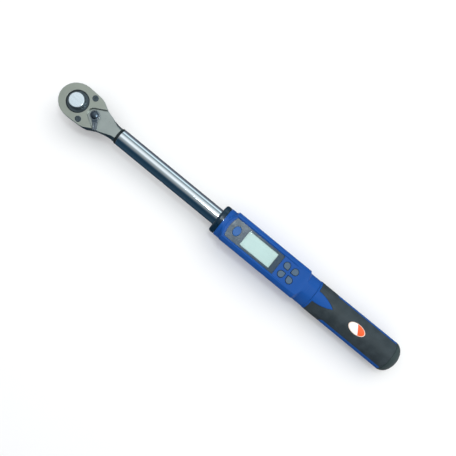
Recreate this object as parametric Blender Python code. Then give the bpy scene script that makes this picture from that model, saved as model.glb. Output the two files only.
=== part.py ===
"""Digital torque wrench with a 1/2 inch ratchet head.

All sizes below are millimetres. finish() turns every mesh into metres at the end.
X runs along the tool from the drive axis to the handle's end, and Z points up through the display.
Heights are measured from the tool's centreline. solid() lifts every piece by CENTRELINE_HEIGHT, so the
origin is the centre of the drive square's end face.
"""

import math

import bmesh
import bpy
from mathutils import Matrix, Vector

MM = 0.001
GAP = 0.3
WELD = 0.005

# Driving dimensions
SQUARE = 12.7
HEAD_RADIUS = 21.9
HEAD_FRONT = 23.6
TUBE_RADIUS = 10.6
TUBE_BORE = 8.6
HOUSING_RADIUS = 19.0
GRIP_RADIUS = 19.6
GRIP_END_RADIUS = 19.8
CENTRELINE_HEIGHT = 28.0

# Stations along the tool
NECK_END = 60.3
TUBE_START = 63.9
TUBE_END = 470.0
COLLAR_START = 214.8
HOUSING_START = 222.3
HOUSING_END = 359.0
RUBBER_START = 361.7
GRIP_END = 474.5
TOOL_END = 487.2

# Ratchet head heights and centres
HEAD_TOP = 7.4
HEAD_BOTTOM = -12.0
HEAD_DRAFT = 1.3
NECK_RADIUS = 9.6
NECK_BLEND = 42.0
PLATE_TOP = 10.4
NOTCH_X = 23.6
NOTCH_RADIUS = 7.0
CAVITY_FLOOR = -5.0
CAVITY_ROOF = 5.5
GEAR_TEETH = 72
GEAR_OUTER = 15.3
GEAR_ROOT = 14.3
GEAR_LOW = -4.6
GEAR_HIGH = 7.2
HUB_RADIUS = 13.5
HUB_TOP = 9.4
BOSS_RADIUS = 12.3
BOSS_LOW = -12.8
BORE_FLOOR = -26.7
SPRING_FLOOR = -8.0
BUTTON_SEAT = 1.7
BUTTON_TRAVEL = 3.0
BUTTON_RADIUS = 9.3
BUTTON_TOP = 16.4
PIN_RADIUS = 3.3
BALL_RADIUS = 1.75
BALL_X = 5.45
BALL_HEIGHT = -22.5
SCREW_X = 13.9
SCREW_Y = 15.95
SCREW_HEAD = 3.6
SCREW_SEAT = 8.9
LEVER_X = 26.1
LEVER_REST = math.radians(-51.5)
LEVER_TOP = 10.6
LEVER_TAB_TOP = 12.6
HUB_DOME = 5.2
SHAFT_RADIUS = 3.2
PLUNGER_REACH = 4.6
PLUNGER_RADIUS = 0.9
CLIP_RECESS = 2.2
CLIP_LOW = -11.3
PAWL_X = 19.3
PAWL_ROCK = math.radians(7.0)
PAWL_PIN_RADIUS = 1.0

# Beam inside the tube
BEAM_START = 84.0
BEAM_HALF = 4.5
SHANK_RADIUS = 8.2
CROSS_PIN_X = 136.0
CROSS_PIN_RADIUS = 2.0

# Housing heights and display layout
FACE_TOP = 19.2
KEY_FACE = 18.3
PANEL_TOP = 17.9
PANEL_FLOOR = 16.0
SCREEN_TOP = 16.8
SHELL_CEILING = 14.0
BOARD_BOTTOM = TUBE_RADIUS + GAP
BOARD_TOP = BOARD_BOTTOM + 0.9
SHELL_WALL = 2.2
FACE_START = 231.8
CAVITY_START = 234.5
CAVITY_STOP = 339.5
CAVITY_HALF = 16.6
PANEL_STOP = 305.1
PANEL_HALF = 12.8
WINDOW_X = 276.2
WINDOW_LONG = 43.8
WINDOW_WIDE = 20.5
POWER_X = 242.7
POWER_HALF = (4.7, 6.2)
KEY_COLUMNS = (313.5, 325.7)
KEY_Y = 6.1
KEY_RADIUS = 4.0
KEY_GAP = 0.6
BUTTON_LOW = 13.7
BOSS_SPOTS = [(x, y) for x in (238.0, 333.0) for y in (-14.6, 14.6)]
BOSS_POST = 2.9
SCREW_SHANK = 1.2
CASE_SCREW_HEAD = 2.4
HOUSING_SEAT = -8.0
COLLAR_ROUND = 3.0
FACE_HALF = 13.3
FACE_SLOPE = 1.5
FACE_BULGE = 4.4
STEP_START = 340.8

# Grip and battery
CORE_RADIUS = 17.4
BATTERY_RADIUS = 7.15
BATTERY_LENGTH = 50.0
BATTERY_START = 365.0
SOCKET_START = 462.0
SOCKET_RADIUS = 14.3
SEAL_RADIUS = 16.2
SEAL_FLOOR = 472.1
CAP_START = 462.8
CAP_FLOOR = 473.5
DOME_RISE = 15.0
BADGE_X = 422.7
BADGE_HALF = (11.9, 6.6)
STRIP_START = 383.5
STRIP_HALF = 9.9
TONGUE_TIP = 386.6
TONGUE_HALF = 7.0


# ---------------------------------------------------------------- mesh helpers


def material(name, colour, roughness, metallic=0.0):
    made = bpy.data.materials.new(name)
    made.use_nodes = True
    shader = made.node_tree.nodes["Principled BSDF"]
    shader.inputs["Base Color"].default_value = (*colour, 1.0)
    shader.inputs["Roughness"].default_value = roughness
    shader.inputs["Metallic"].default_value = metallic
    return made


def solid(name, shape, finish=None, origin=(0.0, 0.0, 0.0)):
    """Makes an object from (points, faces) in millimetres, with its own origin at the given point."""
    points, faces = shape
    mesh = bpy.data.meshes.new(name)
    base = Vector(origin)
    mesh.from_pydata([Vector(p) - base for p in points], [], faces)
    work = bmesh.new()
    work.from_mesh(mesh)
    bmesh.ops.recalc_face_normals(work, faces=work.faces)
    work.to_mesh(mesh)
    work.free()
    if finish:
        mesh.materials.append(finish)
    made = bpy.data.objects.new(name, mesh)
    made.location = base + Vector((0.0, 0.0, CENTRELINE_HEIGHT))
    bpy.context.scene.collection.objects.link(made)
    return made


def turned(profile, segments, axis="X", centre=(0.0, 0.0)):
    """Turns a closed profile of (along, radius) pairs about a line along the axis. Radius 0 is a pole."""

    def place(along, radius, angle):
        first = centre[0] + radius * math.cos(angle)
        second = centre[1] + radius * math.sin(angle)
        return {"X": (along, first, second), "Y": (first, along, second), "Z": (first, second, along)}[axis]

    points, rings = [], []
    for along, radius in profile:
        count = 1 if radius < 1e-6 else segments
        rings.append(range(len(points), len(points) + count))
        points += [place(along, radius, math.tau * k / segments) for k in range(count)]
    faces = []
    for ring, after in zip(rings, rings[1:] + rings[:1]):
        if len(ring) == 1 and len(after) == 1:
            continue
        for k in range(segments):
            corners = [ring[k % len(ring)], ring[(k + 1) % len(ring)]]
            corners += [after[(k + 1) % len(after)], after[k % len(after)]]
            faces.append(list(dict.fromkeys(corners)))
    return points, faces


def loft(sections, ladder=False):
    """Joins closed loops of equally many points, and closes both ends. A ladder closes a symmetric loop."""
    count = len(sections[0])
    points = [p for section in sections for p in section]
    faces = []
    for first in (0, len(points) - count):
        last = first + count - 1
        if ladder:
            faces += [[first + k, first + k + 1, last - k - 1, last - k] for k in range(count // 2 - 1)]
        else:
            faces.append(list(range(first, last + 1)))
    for row in range(len(sections) - 1):
        low, high = row * count, (row + 1) * count
        for k in range(count):
            after = (k + 1) % count
            faces.append([low + k, low + after, high + after, high + k])
    return points, faces


def prism(outline, low, high, axis="Z"):
    """Extrudes an outline: (x, y) along Z, (x, z) along Y or (y, z) along X."""
    order = {"Z": lambda p, h: (p[0], p[1], h), "Y": lambda p, h: (p[0], h, p[1]), "X": lambda p, h: (h, *p)}
    return loft([[order[axis](p, h) for p in outline] for h in (low, high)])


def block(low, high):
    corners = [(low[0], low[1]), (high[0], low[1]), (high[0], high[1]), (low[0], high[1])]
    return prism(corners, low[2], high[2])


def rod(start, stop, radius, segments=16, axis="X", centre=(0.0, 0.0)):
    return turned([(start, 0), (start, radius), (stop, radius), (stop, 0)], segments, axis, centre)


def arc(centre, radius, start, stop, steps):
    """Points on an arc, with angles in degrees."""
    angles = [math.radians(start + (stop - start) * k / steps) for k in range(steps + 1)]
    return [(centre[0] + radius * math.cos(a), centre[1] + radius * math.sin(a)) for a in angles]


def quarter(along, radius, reach, rise, steps):
    """A quarter ellipse in a turned profile: from its widest point to its furthest point along the axis."""
    turns = [math.pi / 2 * k / steps for k in range(steps + 1)]
    return [(along + reach * math.sin(a), radius + rise * math.cos(a)) for a in turns]


def inset_outline(outline, amount, closed=True):
    """Moves an outline inwards by that amount. An open one runs clockwise from the front over +Y."""
    count = len(outline)
    area = sum(a[0] * b[1] - b[0] * a[1] for a, b in zip(outline, outline[1:] + outline[:1]))
    way = 1.0 if closed and area > 0 else -1.0
    moved = []
    for k, (x, y) in enumerate(outline):
        before = outline[k - 1] if closed or k else (x, -y)
        after = outline[(k + 1) % count] if closed or k < count - 1 else (x + 1.0, y)
        first = Vector((x - before[0], y - before[1])).normalized()
        second = Vector((after[0] - x, after[1] - y)).normalized()
        normal = Vector((-first.y - second.y, first.x + second.x)) * way
        scale = amount * 2.0 / max(normal.length_squared, 0.5)
        moved.append((x + normal.x * scale, y + normal.y * scale))
    return moved


def rounded_box(x0, x1, half, radius, steps=4):
    """A rectangle from x0 to x1 and -half to half, with round corners."""
    corners = [(x1 - radius, half - radius, 0), (x0 + radius, half - radius, 90)]
    corners += [(x0 + radius, radius - half, 180), (x1 - radius, radius - half, 270)]
    return [p for x, y, start in corners for p in arc((x, y), radius, start, start + 90, steps)]


def swept(path, radius, sides):
    """A round wire of that radius along a list of points."""
    path = [Vector(p) for p in path]
    sections = []
    across = Vector((0.0, 1.0, 0.0))
    for k, point in enumerate(path):
        along = (path[min(k + 1, len(path) - 1)] - path[max(k - 1, 0)]).normalized()
        across = (across - along * across.dot(along)).normalized()
        other = along.cross(across)
        turns = [math.tau * s / sides for s in range(sides)]
        sections.append([point + (across * math.cos(a) + other * math.sin(a)) * radius for a in turns])
    return loft(sections)


def coil(start, stop, radius, wire, turns, axis):
    """A compression spring between two stations along an axis, as a wire on a helix."""
    steps = turns * 8
    path = []
    for k in range(steps + 1):
        along = start + wire + (stop - start - 2 * wire) * k / steps
        angle = math.tau * turns * k / steps
        side, up = radius * math.cos(angle), radius * math.sin(angle)
        path.append((along, side, up) if axis == "X" else (side, up, along))
    return swept(path, wire, 5)


def weld(mesh):
    """Merges the points a Boolean leaves closer than WELD."""
    work = bmesh.new()
    work.from_mesh(mesh)
    bmesh.ops.remove_doubles(work, verts=work.verts, dist=WELD)
    bmesh.ops.dissolve_degenerate(work, edges=work.edges, dist=WELD)
    work.to_mesh(mesh)
    work.free()


def combine(target, others, operation):
    """Applies one Boolean with all the other objects to target, and removes them."""
    group = bpy.data.collections.new("operands")
    for other in others:
        group.objects.link(other)
    modifier = target.modifiers.new("combine", "BOOLEAN")
    modifier.operation = operation
    modifier.solver = "EXACT"
    modifier.operand_type = "COLLECTION"
    modifier.collection = group
    bpy.context.view_layer.update()
    graph = bpy.context.evaluated_depsgraph_get()
    mesh = bpy.data.meshes.new_from_object(target.evaluated_get(graph))
    weld(mesh)
    target.modifiers.clear()
    target.data = mesh
    for other in others:
        bpy.data.objects.remove(other)
    bpy.data.collections.remove(group)


def cut(target, *shapes):
    combine(target, [solid("cutter", shape) for shape in shapes], "DIFFERENCE")
    return target


def join(target, *shapes):
    combine(target, [solid("addition", shape) for shape in shapes], "UNION")
    return target


def smooth_step(x, start, stop):
    t = min(max((x - start) / (stop - start), 0.0), 1.0)
    return t * t * (3 - 2 * t)


def blend(a, b, t):
    return a + (b - a) * t


# ---------------------------------------------------------------- ratchet head


def head_side():
    """The head's outline seen from above, from the round front to the neck's end, on the +Y side."""
    turns = [math.radians(degrees) for degrees in range(6, 91, 12)]
    front = [(-HEAD_FRONT * math.cos(a), HEAD_RADIUS * math.sin(a)) for a in turns]
    shoulder = [(2.0, 21.9), (12.6, 21.5), (20.0, 20.9), (24.6, 19.8), (26.6, 18.6), (34.0, 14.5)]
    neck = [(38.0, 13.1), (43.0, 11.8), (48.0, 10.7), (54.0, 9.8), (57.0, NECK_RADIUS), (NECK_END, NECK_RADIUS)]
    return front + shoulder + neck


def head_level(height, inset, angle):
    """One level of the forging: flat at that height over the head, and at that angle round the neck."""
    level = []
    for (x, y), (plain_x, plain_y) in zip(inset_outline(head_side(), inset, closed=False), head_side()):
        t = smooth_step(plain_x, NECK_BLEND, NECK_END)
        wide = blend(y, plain_y * math.cos(angle), t)
        level.append((blend(x, plain_x, t), wide, blend(height, NECK_RADIUS * math.sin(angle), t)))
    return level + [(x, -y, z) for x, y, z in reversed(level)]


def build_head(steel):
    """The forged head, its neck, and the beam inside the tube that bends under load."""
    levels = [(HEAD_TOP, 0.5, 54.0), (HEAD_TOP - 0.5, 0.0, 44.0), (3.0, 0.2, 22.0), (-2.0, 0.6, 0.0)]
    levels += [(HEAD_BOTTOM + 2.5, HEAD_DRAFT, -30.0), (HEAD_BOTTOM + 0.7, HEAD_DRAFT + 0.7, -52.0)]
    levels += [(HEAD_BOTTOM, HEAD_DRAFT + 2.3, -75.0)]
    rows = [head_level(height, inset, math.radians(degrees)) for height, inset, degrees in levels]
    head = solid("ratchet_head", loft(rows, ladder=True), steel)
    beam_end = BEAM_START + 42.0
    root = NECK_END + 0.1
    stub = [(root - 1.0, 0), (root - 1.0, 6.0), (root, 6.0), (root, SHANK_RADIUS)]
    join(
        head,
        turned(stub + [(BEAM_START + 0.5, SHANK_RADIUS), (BEAM_START + 0.5, 0)], 32),
        block((BEAM_START, -5.5, -BEAM_HALF), (beam_end + 0.5, 5.5, BEAM_HALF)),
        rod(beam_end, beam_end + 20.0, SHANK_RADIUS, 32),
    )
    pocket = rounded_box(10.0, 23.8, 8.4, 2.0)
    lever_at, pawl_at = (LEVER_X, 0.0), (PAWL_X, 0.0)
    screw_holes = [rod(-2.4, HEAD_TOP + 1.0, 1.8, 16, "Z", (SCREW_X, side)) for side in (-SCREW_Y, SCREW_Y)]
    return cut(
        head,
        *screw_holes,
        rod(HEAD_BOTTOM - 1.0, HEAD_TOP + 1.0, BOSS_RADIUS + GAP, 44, "Z"),
        rod(CAVITY_FLOOR, HEAD_TOP + 1.0, GEAR_OUTER + GAP, 44, "Z"),
        prism(pocket, CAVITY_FLOOR - 0.2, CAVITY_ROOF),
        rod(CAVITY_FLOOR - 0.4, CAVITY_ROOF - 0.4, PLUNGER_REACH + 2 * GAP, 32, "Z", lever_at),
        rod(HEAD_BOTTOM - 1.0, HEAD_TOP + 1.0, SHAFT_RADIUS + GAP, 32, "Z", lever_at),
        rod(HEAD_BOTTOM - 1.0, HEAD_BOTTOM + CLIP_RECESS, 5.0, 32, "Z", lever_at),
        rod(HEAD_BOTTOM - 1.0, CAVITY_ROOF + 1.2, PAWL_PIN_RADIUS + GAP, 16, "Z", pawl_at),
        rod(-12.0, 12.0, CROSS_PIN_RADIUS + GAP, 24, "Y", (CROSS_PIN_X, 0.0)),
        block((beam_end - 1.0, -1.6, 5.2), (beam_end + 21.0, 1.6, 9.0)),
    )


def plate_outline():
    """The cover plate seen from above: the head's outline with a V notch that clears and stops the lever."""
    side = [p for p in head_side() if p[0] < 30.0]
    tip = [(32.6, 15.1), (33.3, 14.6), (33.5, 14.1), (33.2, 13.6)]
    nose = arc((NOTCH_X, 0.0), NOTCH_RADIUS, 120.0, 240.0, 12)
    half = side + tip
    return half + nose + [(x, -y) for x, y in reversed(half)]


def build_cover_plate(steel):
    outline = plate_outline()
    low = HEAD_TOP + GAP
    rows = [(outline, low), (outline, PLATE_TOP - 0.4), (inset_outline(outline, 0.4), PLATE_TOP)]
    plate = solid("cover_plate", loft([[(x, y, z) for x, y in shape] for shape, z in rows]), steel)
    hole = HUB_RADIUS + GAP
    opening = [(low - 1.0, 0), (low - 1.0, hole), (PLATE_TOP - 0.4, hole), (PLATE_TOP + 0.6, hole + 1.0)]
    cut(plate, turned(opening + [(PLATE_TOP + 0.6, 0)], 44, "Z"))
    for side in (-SCREW_Y, SCREW_Y):
        cut(plate, rod(low - 1.0, PLATE_TOP + 1.0, 1.8, 16, "Z", (SCREW_X, side)))
        cut(plate, rod(SCREW_SEAT - GAP, PLATE_TOP + 1.0, SCREW_HEAD + GAP, 24, "Z", (SCREW_X, side)))
    return plate


def build_cover_screw(name, side, steel):
    centre = (SCREW_X, side)
    top = PLATE_TOP + 0.1
    profile = [(-2.0, 0), (-2.0, 1.5), (SCREW_SEAT, 1.5), (SCREW_SEAT, SCREW_HEAD), (top - 0.3, SCREW_HEAD)]
    screw = solid(name, turned(profile + [(top, SCREW_HEAD - 0.3), (top, 0)], 24, "Z", centre), steel)
    return cut(screw, rod(top - 1.2, top + 1.0, 1.7, 6, "Z", centre))


def build_drive_gear(steel):
    """The ratchet wheel, the hub ring round the button, and the drive square in one piece."""
    teeth = []
    for k in range(GEAR_TEETH):
        for share, radius in ((0.0, GEAR_ROOT), (0.5, GEAR_OUTER)):
            angle = math.tau * (k + share) / GEAR_TEETH
            teeth.append((radius * math.cos(angle), radius * math.sin(angle)))
    gear = solid("drive_gear", prism(teeth, GEAR_LOW, GEAR_HIGH), steel)
    hub = [(BOSS_LOW, 0), (BOSS_LOW, BOSS_RADIUS - 0.8), (BOSS_LOW + 0.8, BOSS_RADIUS)]
    hub += [(GEAR_LOW + 0.5, BOSS_RADIUS), (GEAR_LOW + 0.5, HUB_RADIUS), (HUB_TOP - 0.6, HUB_RADIUS)]
    hub += [(HUB_TOP, HUB_RADIUS - 0.6), (HUB_TOP, 0)]
    square = rounded_box(-SQUARE / 2, SQUARE / 2, SQUARE / 2, 0.9, 3)
    rows = [(inset_outline(square, 0.6), -CENTRELINE_HEIGHT), (square, 0.9 - CENTRELINE_HEIGHT)]
    rows += [(square, BOSS_LOW + 1.0)]
    join(gear, turned(hub, 44, "Z"), loft([[(x, y, z) for x, y in shape] for shape, z in rows]))
    bore = [(BORE_FLOOR, 0), (BORE_FLOOR, PIN_RADIUS + GAP), (SPRING_FLOOR, PIN_RADIUS + GAP)]
    bore += [(SPRING_FLOOR, 6.4), (BUTTON_SEAT, 6.4), (BUTTON_SEAT, BUTTON_RADIUS + GAP)]
    bore += [(HUB_TOP + 1.0, BUTTON_RADIUS + GAP), (HUB_TOP + 1.0, 0)]
    return cut(gear, turned(bore, 36, "Z"), rod(1.0, SQUARE, BALL_RADIUS + GAP, 24, "X", (0.0, BALL_HEIGHT)))


def build_release_button(steel):
    """The quick-release button, whose stem has a groove the ball drops into when the button is pressed."""
    ball, top = BALL_HEIGHT, BUTTON_TOP
    low = BUTTON_SEAT + BUTTON_TRAVEL + GAP
    stem = [(ball - 0.8, 0), (ball - 0.8, PIN_RADIUS), (ball + 0.6, PIN_RADIUS), (ball + 1.1, 2.1)]
    stem += [(ball + 5.4, 2.1), (ball + 5.9, PIN_RADIUS), (low, PIN_RADIUS)]
    head = [(low, BUTTON_RADIUS), (top - 0.8, BUTTON_RADIUS), (top - 0.2, BUTTON_RADIUS - 0.3)]
    head += [(top, BUTTON_RADIUS - 0.8), (top, 3.0), (top - 0.1, 0)]
    return solid("release_button", turned(stem + head, 32, "Z"), steel)


def build_detent_ball(steel):
    turns = [math.radians(k * 30) for k in range(7)]
    profile = [(BALL_HEIGHT - BALL_RADIUS * math.cos(a), BALL_RADIUS * math.sin(a)) for a in turns]
    return solid("detent_ball", turned(profile, 16, "Z", (BALL_X, 0.0)), steel, (BALL_X, 0.0, BALL_HEIGHT))


def turn(points, angle, centre):
    """Turns plan points about a plan centre."""
    cos, sin = math.cos(angle), math.sin(angle)
    moved = []
    for x, y in points:
        dx, dy = x - centre[0], y - centre[1]
        moved.append((centre[0] + dx * cos - dy * sin, centre[1] + dx * sin + dy * cos))
    return moved


def build_pawl(steel):
    """A rocking pawl with a tooth at each end. It rests with its +Y tooth in the gear."""
    centre = (PAWL_X, 0.0)

    def polar(radius, degrees):
        return (radius * math.cos(math.radians(degrees)), radius * math.sin(math.radians(degrees)))

    reach = GEAR_OUTER + 0.55
    engaged = [polar(reach, 17.5), polar(GEAR_ROOT + 0.55, 20.0), polar(reach, 22.5), (16.6, 7.4)]
    half = turn(engaged, -PAWL_ROCK / 2, centre) + [(20.6, 6.8), (22.4, 4.9)]
    back = arc((LEVER_X, 0.0), PLUNGER_REACH + 0.4, 130.0, 230.0, 8)
    front = arc((0.0, 0.0), GEAR_OUTER + 0.7, -15.0, 15.0, 6)
    outline = front + half + back + [(x, -y) for x, y in reversed(half)]
    shape = prism(turn(outline, PAWL_ROCK / 2, centre), CAVITY_FLOOR + GAP, CAVITY_ROOF - GAP)
    pawl = solid("pawl", shape, steel, (PAWL_X, 0.0, 0.0))
    return cut(pawl, rod(-20.0, 20.0, PAWL_PIN_RADIUS + GAP, 16, "Z", centre))


def build_reverse_lever(steel):
    """The thumb lever with its raised finger tab, and the shaft and plunger that work the pawl."""
    centre = (LEVER_X, 0.0)
    low, high, tab = HEAD_TOP + GAP, LEVER_TOP, LEVER_TAB_TOP

    def along(outline):
        return turn([(LEVER_X + p[0], p[1]) for p in outline], LEVER_REST, centre)

    arm = [(18.9, 1.4), (18.1, 2.3), (16.0, 2.6), (12.0, 2.7), (7.0, 3.6)]
    hub = arc((0.0, 0.0), 6.1, 38.0, 322.0, 20)
    outline = arm + hub + [(x, -y) for x, y in reversed(arm)]
    plan = [along(outline), along(outline), along(inset_outline(outline, 0.5))]
    rows = [[(x, y, z) for x, y in shape] for shape, z in zip(plan, (low, high - 0.5, high))]
    lever = solid("reverse_lever", loft(rows), steel, (LEVER_X, 0.0, 0.0))
    ridge = [(18.5, 1.1), (17.7, 1.9), (15.5, 2.2), (11.0, 2.1), (9.6, 1.8), (8.8, 1.0)]
    ridge += [(x, -y) for x, y in reversed(ridge)]
    groove = along([(x + 13.4, y) for x, y in rounded_box(-3.6, 3.6, 0.9, 0.6, 2)])
    plan = [along(ridge), along(ridge), along(inset_outline(ridge, 0.5))]
    tab_rows = [[(x, y, z) for x, y in shape] for shape, z in zip(plan, (low + 1.0, tab - 0.6, tab))]
    shaft = [(CLIP_LOW - 0.6, 0), (CLIP_LOW - 0.6, SHAFT_RADIUS - 0.9), (CLIP_LOW - GAP, SHAFT_RADIUS - 0.6)]
    shaft += [(CLIP_LOW - GAP, SHAFT_RADIUS - 1.2), (CLIP_LOW + 1.1, SHAFT_RADIUS - 1.2)]
    shaft += [(CLIP_LOW + 1.1, SHAFT_RADIUS), (low + 0.5, SHAFT_RADIUS), (low + 0.5, 0)]
    dome = [(low + 0.5, 0), (low + 0.5, HUB_DOME), (high + 0.3, HUB_DOME), (high + 0.9, HUB_DOME - 0.5)]
    dome += [(high + 1.4, HUB_DOME - 1.4), (high + 1.7, 1.8), (high + 1.8, 0)]
    join(lever, loft(tab_rows), turned(shaft, 24, "Z", centre), turned(dome, 32, "Z", centre))
    bore = rod(-PLUNGER_REACH - 1.0, 1.0, PLUNGER_RADIUS + GAP, 16, "X", (0.0, 0.0))
    plunger_bore = ([(x, y, p[2]) for (x, y), p in zip(along(bore[0]), bore[0])], bore[1])
    return cut(lever, plunger_bore, prism(groove, tab - 1.0, tab + 1.0))


def build_pawl_plunger(steel):
    """The pin in the lever's shaft that pushes on one side of the pawl's back or the other."""
    profile = [(-PLUNGER_REACH, 0), (0.5 - PLUNGER_REACH, PLUNGER_RADIUS), (0.5, PLUNGER_RADIUS), (0.5, 0)]
    points, faces = turned(profile, 16)
    plan = turn([(LEVER_X + x, y) for x, y, z in points], LEVER_REST, (LEVER_X, 0.0))
    shape = ([(x, y, p[2]) for (x, y), p in zip(plan, points)], faces)
    return solid("pawl_plunger", shape, steel, (LEVER_X, 0.0, 0.0))


def build_lever_clip(steel):
    """The open ring in the shaft's groove that keeps the lever in the head."""
    inner, outer = SHAFT_RADIUS - 0.9, SHAFT_RADIUS + 1.0
    outline = arc((LEVER_X, 0.0), outer, 20.0, 340.0, 20) + arc((LEVER_X, 0.0), inner, 340.0, 20.0, 20)
    return solid("lever_clip", prism(outline, CLIP_LOW, CLIP_LOW + 0.8), steel, (LEVER_X, 0.0, 0.0))


# ---------------------------------------------------------------- tube and strain beam


def build_main_tube(chrome):
    profile = [(TUBE_START, TUBE_BORE), (TUBE_START, TUBE_RADIUS - 0.3), (TUBE_START + 0.3, TUBE_RADIUS)]
    profile += [(TUBE_END - 0.3, TUBE_RADIUS), (TUBE_END, TUBE_RADIUS - 0.3), (TUBE_END, TUBE_BORE)]
    tube = solid("main_tube", turned(profile, 44), chrome)
    pin_hole = rod(-12.0, 12.0, CROSS_PIN_RADIUS + GAP, 24, "Y", (CROSS_PIN_X, 0.0))
    return cut(tube, pin_hole, block((239.0, -2.4, 5.0), (250.0, 2.4, 12.0)))


def build_neck_ring(rubber):
    low, high = NECK_END + GAP, TUBE_START - GAP
    inner, outer = SHANK_RADIUS + GAP, TUBE_RADIUS - 0.1
    profile = [(low, inner), (low, outer - 0.5), (low + 0.5, outer), (high - 0.3, outer)]
    return solid("neck_ring", turned(profile + [(high, outer - 0.3), (high, inner)], 36), rubber)


def build_signal_cable(plastic):
    path = [(112.0, 0.0, 6.3), (124.0, 0.0, 6.7), (150.0, 0.0, 6.9), (234.0, 0.0, 6.9)]
    path += [(239.0, 0.0, 7.2), (242.4, 0.0, 8.0), (244.5, 0.0, 9.1), (244.6, 0.0, BOARD_BOTTOM - 0.4)]
    return solid("signal_cable", swept(path, 0.9, 8), plastic)


def build_front_collar(plastic):
    """The black collar, with a round front edge, that closes the housing round the tube."""
    outer, low, high = HOUSING_RADIUS - 0.2, COLLAR_START, HOUSING_START - GAP
    edge = quarter(low + COLLAR_ROUND, outer - COLLAR_ROUND, -COLLAR_ROUND, COLLAR_ROUND, 5)[::-1]
    bore = TUBE_RADIUS + GAP
    return solid("front_collar", turned([(low, bore), *edge, (high, outer), (high, bore)], 44), plastic)


# ---------------------------------------------------------------- display housing


def upper_section(x, share, top):
    """The upper shell's section: share 0 is half a circle, and 1 is the flared box with that top height."""
    turns = [0.5, 9, 20, 31, 40, 49, 58, 64, 70, 78]
    box = [(19.0, 0.15), (19.4, 3.0), (19.9, 7.0), (20.2, 11.0), (19.7, 13.8), (18.3, 16.0)]
    box += [(16.9, min(17.5, top - 1.3)), (15.4, top - 0.8), (15.1, top), (8.0, top)]
    half = []
    for degrees, (wide, high) in zip(turns, box):
        y = blend(HOUSING_RADIUS * math.cos(math.radians(degrees)), wide, share)
        z = blend(HOUSING_RADIUS * math.sin(math.radians(degrees)), high, share)
        half.append((x, y, z))
    return half + [(x, -y, z) for x, y, z in reversed(half)]


def bulged(section, depth):
    """Moves a section's middle towards the head, so that the display end is a shallow arc seen from above."""
    return [(x - depth * max(0.0, 1.0 - (y / 15.1) ** 2), y, z) for x, y, z in section]


def display_outline(start, stop, half, bulge):
    """A plan outline with a bulged front edge and a square back."""
    radius = (half**2 + bulge**2) / (2 * bulge)
    swing = math.degrees(math.asin(half / radius))
    front = arc((start + radius, 0.0), radius, 180.0 - swing, 180.0 + swing, 10)
    return [(stop, half), *front, (stop, -half)]


def key_outline(column, side, margin):
    """A round key with one square corner, which faces the middle of the group of four."""
    middle = sum(KEY_COLUMNS) / 2
    across = math.copysign(1.0, middle - column)
    inward = -math.copysign(1.0, side)
    radius = KEY_RADIUS + margin
    shape = arc((0.0, 0.0), radius, 90.0, 360.0, 18) + arc((radius - 0.9, radius - 0.9), 0.9, 0.0, 90.0, 3)
    return [(column + x * across, side + y * inward) for x, y in shape]


def oval(x, half_x, half_y, steps=28):
    turns = [math.tau * k / steps for k in range(steps)]
    return [(x + half_x * math.cos(a), half_y * math.sin(a)) for a in turns]


def power_outline(margin):
    return oval(POWER_X, POWER_HALF[0] + margin, POWER_HALF[1] + margin)


def window_box(margin):
    """The display opening, with that margin round it, as x0, x1 and half its width."""
    reach = WINDOW_LONG / 2 + margin
    return WINDOW_X - reach, WINDOW_X + reach, WINDOW_WIDE / 2 + margin


def build_upper_housing(plastic):
    """The shell with the display face. Its keys and display stand in openings through the face."""
    lead = FACE_START
    rows = [upper_section(HOUSING_START, 0.0, 0.0)]
    for x, share in ((lead - 2.2, 0.0), (lead - 1.2, 0.55), (lead, 1.0)):
        rows.append(bulged(upper_section(x, share, FACE_TOP), FACE_BULGE))
    key_top = KEY_FACE - 0.25
    rows += [upper_section(318.0, 1.0, FACE_TOP), upper_section(337.0, 1.0, key_top)]
    rows += [upper_section(STEP_START, 1.0, key_top), upper_section(STEP_START + 2.1, 0.5, KEY_FACE)]
    rows += [upper_section(STEP_START + 4.1, 0.0, 0.0), upper_section(HOUSING_END, 0.0, 0.0)]
    shell = solid("upper_housing", loft(rows), plastic)
    hollow = block((CAVITY_START, -CAVITY_HALF, -1.0), (CAVITY_STOP, CAVITY_HALF, SHELL_CEILING))
    cavity = solid("cavity", hollow)
    for spot in BOSS_SPOTS:
        cut(cavity, rod(-3.0, SHELL_CEILING + 2.0, BOSS_POST, 20, "Z", spot))
    combine(shell, [cavity], "DIFFERENCE")
    face = [display_outline(lead - 3.3 - grow, 349.0, FACE_HALF + grow, 4.0) for grow in (0.0, FACE_SLOPE)]
    recess = [[(x, y, z) for x, y in plan] for plan, z in zip(face, (KEY_FACE, FACE_TOP + GAP))]
    panel = display_outline(FACE_START - GAP, PANEL_STOP + GAP, PANEL_HALF + GAP, 2.5)
    x0, x1, half = window_box(1.0)
    cut(
        shell,
        loft(recess),
        prism(panel, PANEL_FLOOR, FACE_TOP + 2.0),
        block((x0, -half, SHELL_CEILING - 1.0), (x1, half, PANEL_FLOOR + 1.0)),
        prism(power_outline(GAP), SHELL_CEILING - 1.0, PANEL_FLOOR + 1.0),
        rod(HOUSING_START - 5.0, HOUSING_END + 5.0, TUBE_RADIUS + GAP, 36),
    )
    for column in KEY_COLUMNS:
        for side in (-KEY_Y, KEY_Y):
            cut(shell, prism(key_outline(column, side, KEY_GAP), SHELL_CEILING - 1.0, KEY_FACE + 1.0))
    for spot in BOSS_SPOTS:
        cut(shell, rod(-3.0, 9.0, SCREW_SHANK + GAP, 12, "Z", spot))
    return shell


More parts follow.
